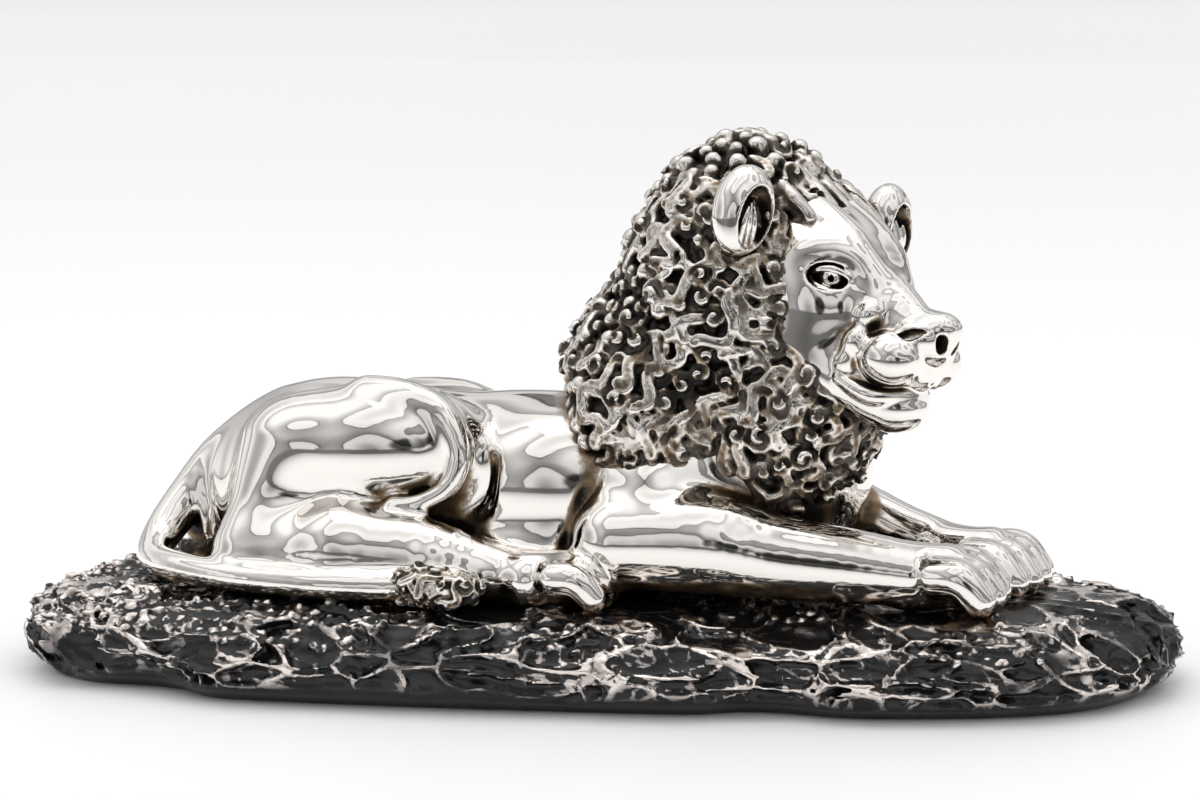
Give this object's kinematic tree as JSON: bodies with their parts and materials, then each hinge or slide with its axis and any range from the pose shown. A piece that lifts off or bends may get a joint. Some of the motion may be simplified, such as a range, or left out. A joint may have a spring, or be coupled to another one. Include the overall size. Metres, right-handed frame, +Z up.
{
  "type": "lion sculpture",
  "caption": "Polished lion with a thickly curled mane lying on a slab of blackened rough rock, head turned to its right and tail laid along its flank.",
  "frame": {"origin": "middle of the rock's flat underside", "axes": "+X towards the lion's forepaws, +Y towards its left side, +Z up"},
  "size_m": [0.3028, 0.134, 0.142],
  "materials": {
    "silver": "mirror-polished silver, brown-black patina left in the hollows",
    "blackened_rock": "blackened, semi-gloss, crests rubbed bright"
  },
  "bodies": {
    "root": {"lion": "silver", "rock_base": "blackened_rock"}
  },
  "joints": []
}
